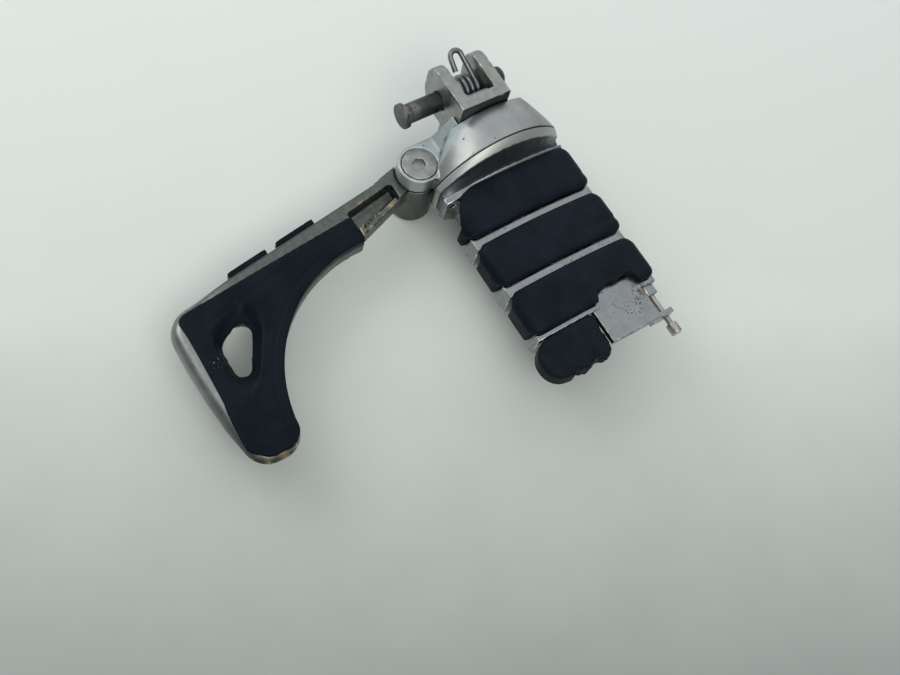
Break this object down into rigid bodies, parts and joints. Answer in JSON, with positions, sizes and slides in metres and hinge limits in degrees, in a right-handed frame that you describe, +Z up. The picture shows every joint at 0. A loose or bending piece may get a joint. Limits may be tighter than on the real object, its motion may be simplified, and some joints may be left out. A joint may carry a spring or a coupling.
{
  "type": "folding motorcycle footpeg with heel rest",
  "caption": "Folding motorcycle footpeg with rubber tread pads on a chromed peg, sprung clevis mount and a swing-out heel rest with a rubber inlay.",
  "frame": {"origin": "on the clevis pin's axis, midway between the clevis ears", "axes": "+X outward along the peg, +Y across it along the pin, +Z up, the tread faces +Z"},
  "size_m": [0.1392, 0.1767, 0.0494],
  "materials": {
    "oily_steel": "dark and oily",
    "clip_steel": "satin",
    "clevis_plating": "worn grey plating",
    "spring_steel": "satin",
    "bracket_chrome": "polished dome, matte arm",
    "fastener_steel": "matte",
    "peg_chrome": "bright, pitted on the ribs",
    "tread_rubber": "worn",
    "rod_steel": "dull",
    "bush_bronze": "plain",
    "rest_chrome": "bright, worn at the neck and the tip",
    "rest_rubber": "soft sheen with small scuffs"
  },
  "bodies": {
    "pin": {"clevis_pin": "oily_steel", "pin_clip": "clip_steel"},
    "peg": {"clevis_mount": "clevis_plating", "return_spring": "spring_steel", "heel_rest_bracket": "bracket_chrome", "adapter_stud": "fastener_steel", "adapter_dowel": "fastener_steel", "peg_body": "peg_chrome", "tread_pad_inner": "tread_rubber", "tread_pad_middle": "tread_rubber", "tread_pad_outer": "tread_rubber", "end_pad": "tread_rubber", "pad_rod_right": "rod_steel", "pad_rod_left": "rod_steel", "pivot_screw": "fastener_steel", "pivot_washer": "fastener_steel", "friction_washer": "fastener_steel", "pivot_nut": "fastener_steel"},
    "heel_rest": {"heel_rest_arm": "rest_chrome", "heel_rest_pad": "rest_rubber", "heel_bumper_inner": "rest_rubber", "heel_bumper_outer": "rest_rubber", "pivot_bush": "bush_bronze"}
  },
  "joints": [
    {"name": "peg_fold", "type": "hinge", "parent": "pin", "child": "peg", "pos_m": [0, 0, 0], "axis": [0, -1, 0], "range_deg": [0, 85], "stiffness_Nm_per_rad": 0.5, "springref_deg": -22.92},
    {"name": "heel_rest_swing", "type": "hinge", "parent": "peg", "child": "heel_rest", "pos_m": [0.0189, -0.0308, -0.02], "axis": [0, 0, 1], "range_deg": [0, 48]}
  ]
}
